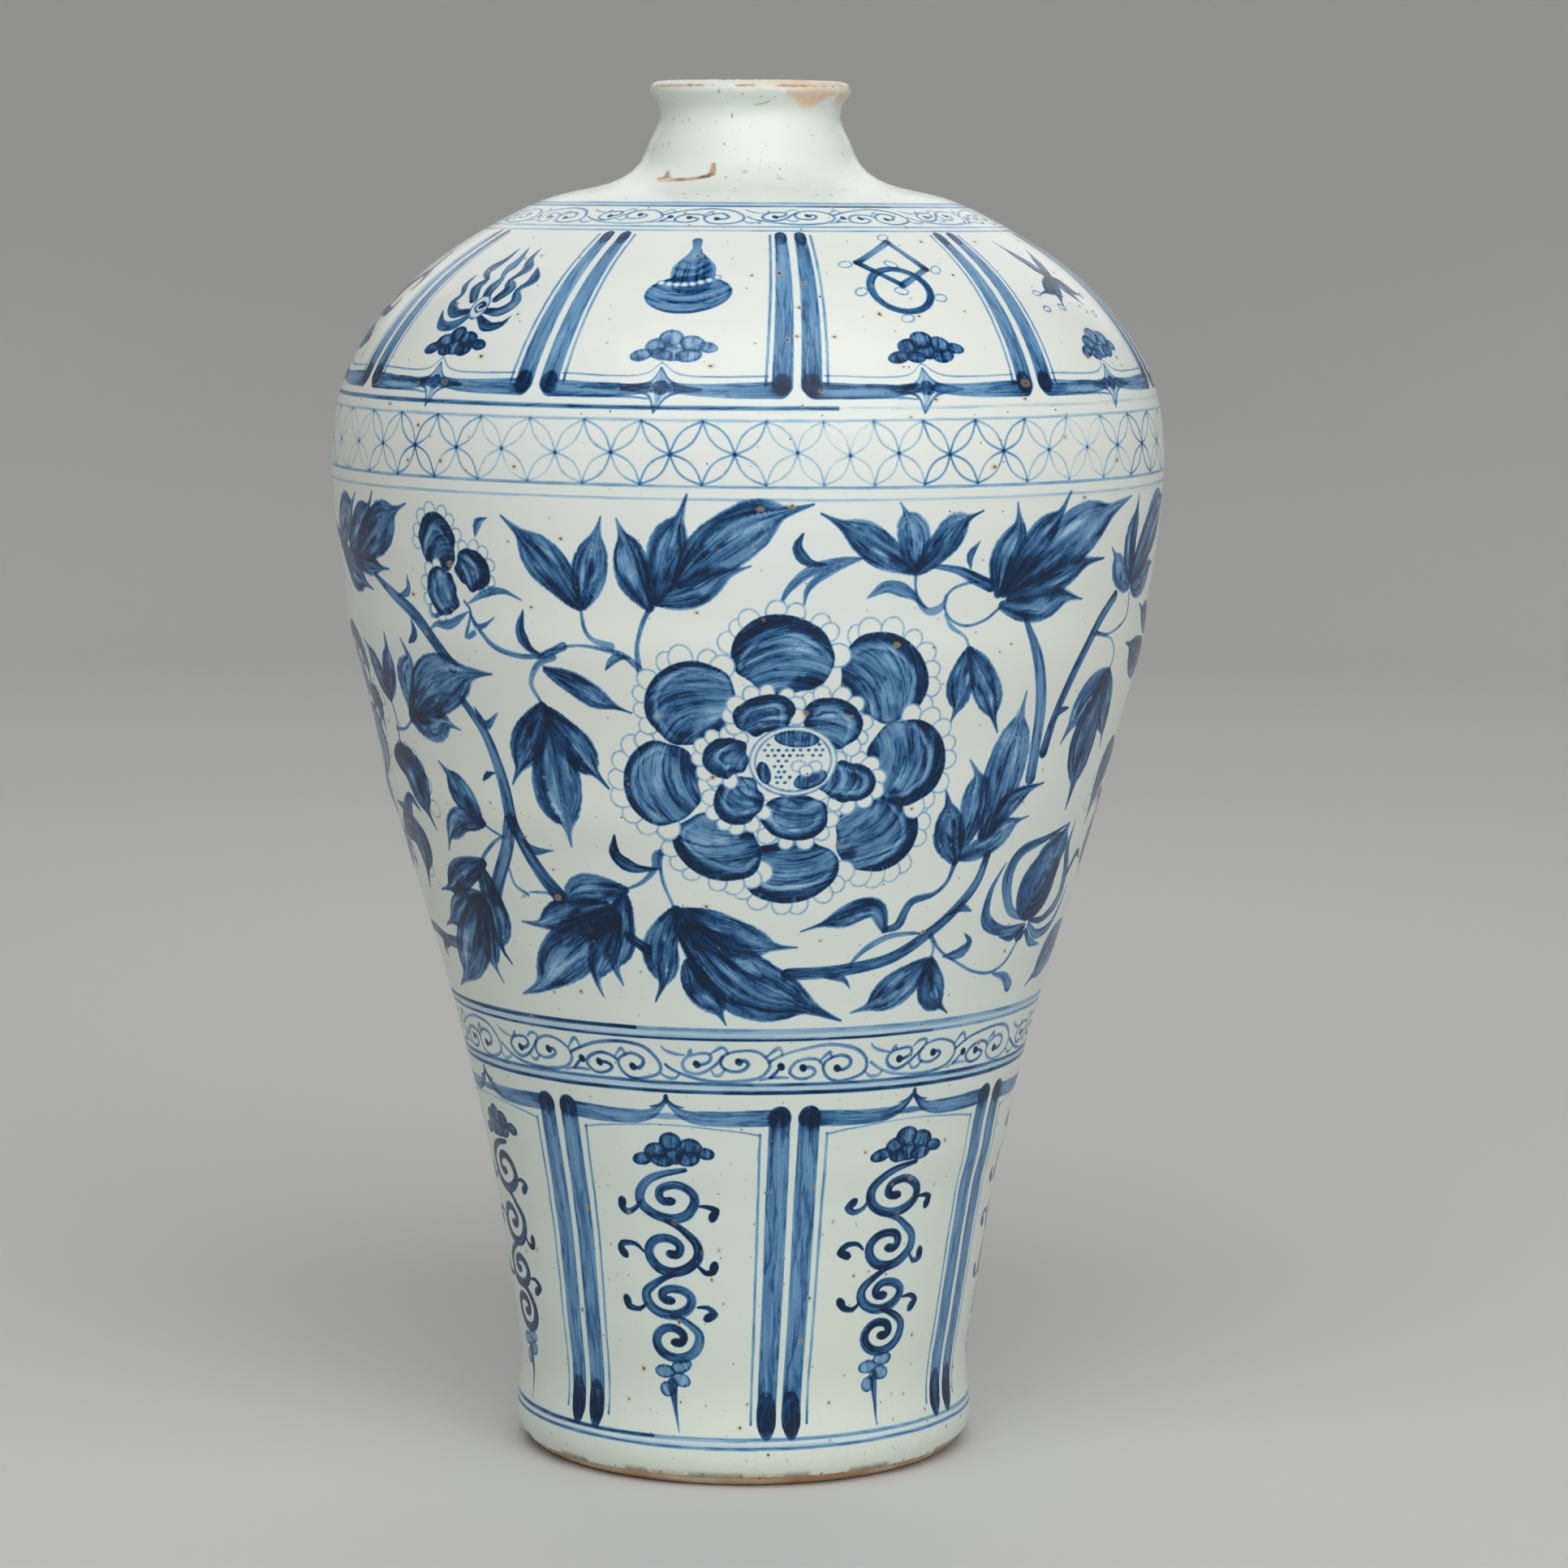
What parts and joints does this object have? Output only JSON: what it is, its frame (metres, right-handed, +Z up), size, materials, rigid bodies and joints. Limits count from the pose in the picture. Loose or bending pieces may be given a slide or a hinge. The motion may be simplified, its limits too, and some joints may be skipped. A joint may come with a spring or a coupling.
{
  "type": "meiping vase",
  "caption": "Tall porcelain vase with a small rolled lip, short neck, high round shoulder and long taper to a flared foot ring, in luted thrown sections under clear glaze.",
  "frame": {"origin": "centre of the foot ring's resting face", "axes": "+Z up along the vase's axis, -Y towards the side that the picture shows"},
  "size_m": [0.2544, 0.2544, 0.42],
  "materials": {
    "porcelain_body": "matt fired porcelain, warm where it is bare",
    "luting_slip": "matt fired slip",
    "painted_glaze": "glossy pale blue-white glaze over cobalt painting"
  },
  "bodies": {
    "root": {"foot_and_base": "porcelain_body", "lower_wall": "porcelain_body", "middle_wall": "porcelain_body", "belly_wall": "porcelain_body", "shoulder": "porcelain_body", "neck_and_lip": "porcelain_body", "foot_slip": "luting_slip", "lower_slip": "luting_slip", "upper_slip": "luting_slip", "shoulder_slip": "luting_slip", "neck_slip": "luting_slip", "outer_glaze": "painted_glaze"}
  },
  "joints": []
}
